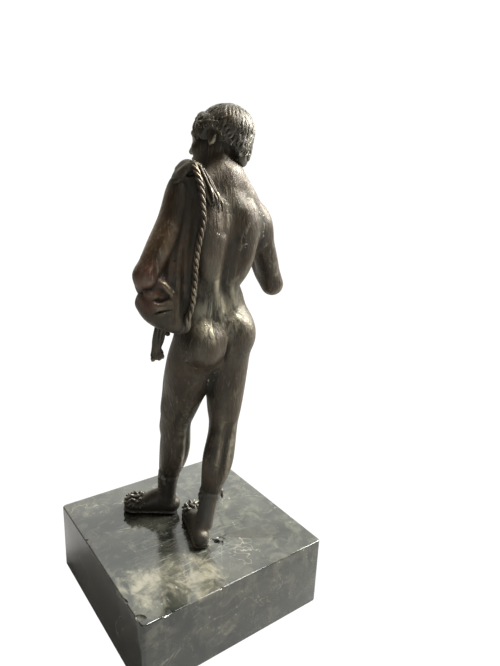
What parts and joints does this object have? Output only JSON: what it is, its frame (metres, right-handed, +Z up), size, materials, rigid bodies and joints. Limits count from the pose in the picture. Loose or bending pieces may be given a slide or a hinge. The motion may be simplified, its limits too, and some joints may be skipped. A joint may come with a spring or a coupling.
{
  "type": "standing youth statuette",
  "caption": "Small standing bronze of a classical youth with a hide slung over one shoulder, on a square marble block.",
  "frame": {"origin": "middle of the marble block's underside", "axes": "+Z up along the height, the figure looks along -Y, its left hand is on the +X side"},
  "size_m": [0.08, 0.08, 0.1957],
  "materials": {
    "bronze": "cast bronze with a dark brown patina, rubbed lighter on the high places",
    "grey_marble": null
  },
  "bodies": {
    "root": {"bronze_figure": "bronze", "marble_block": "grey_marble"}
  },
  "joints": []
}
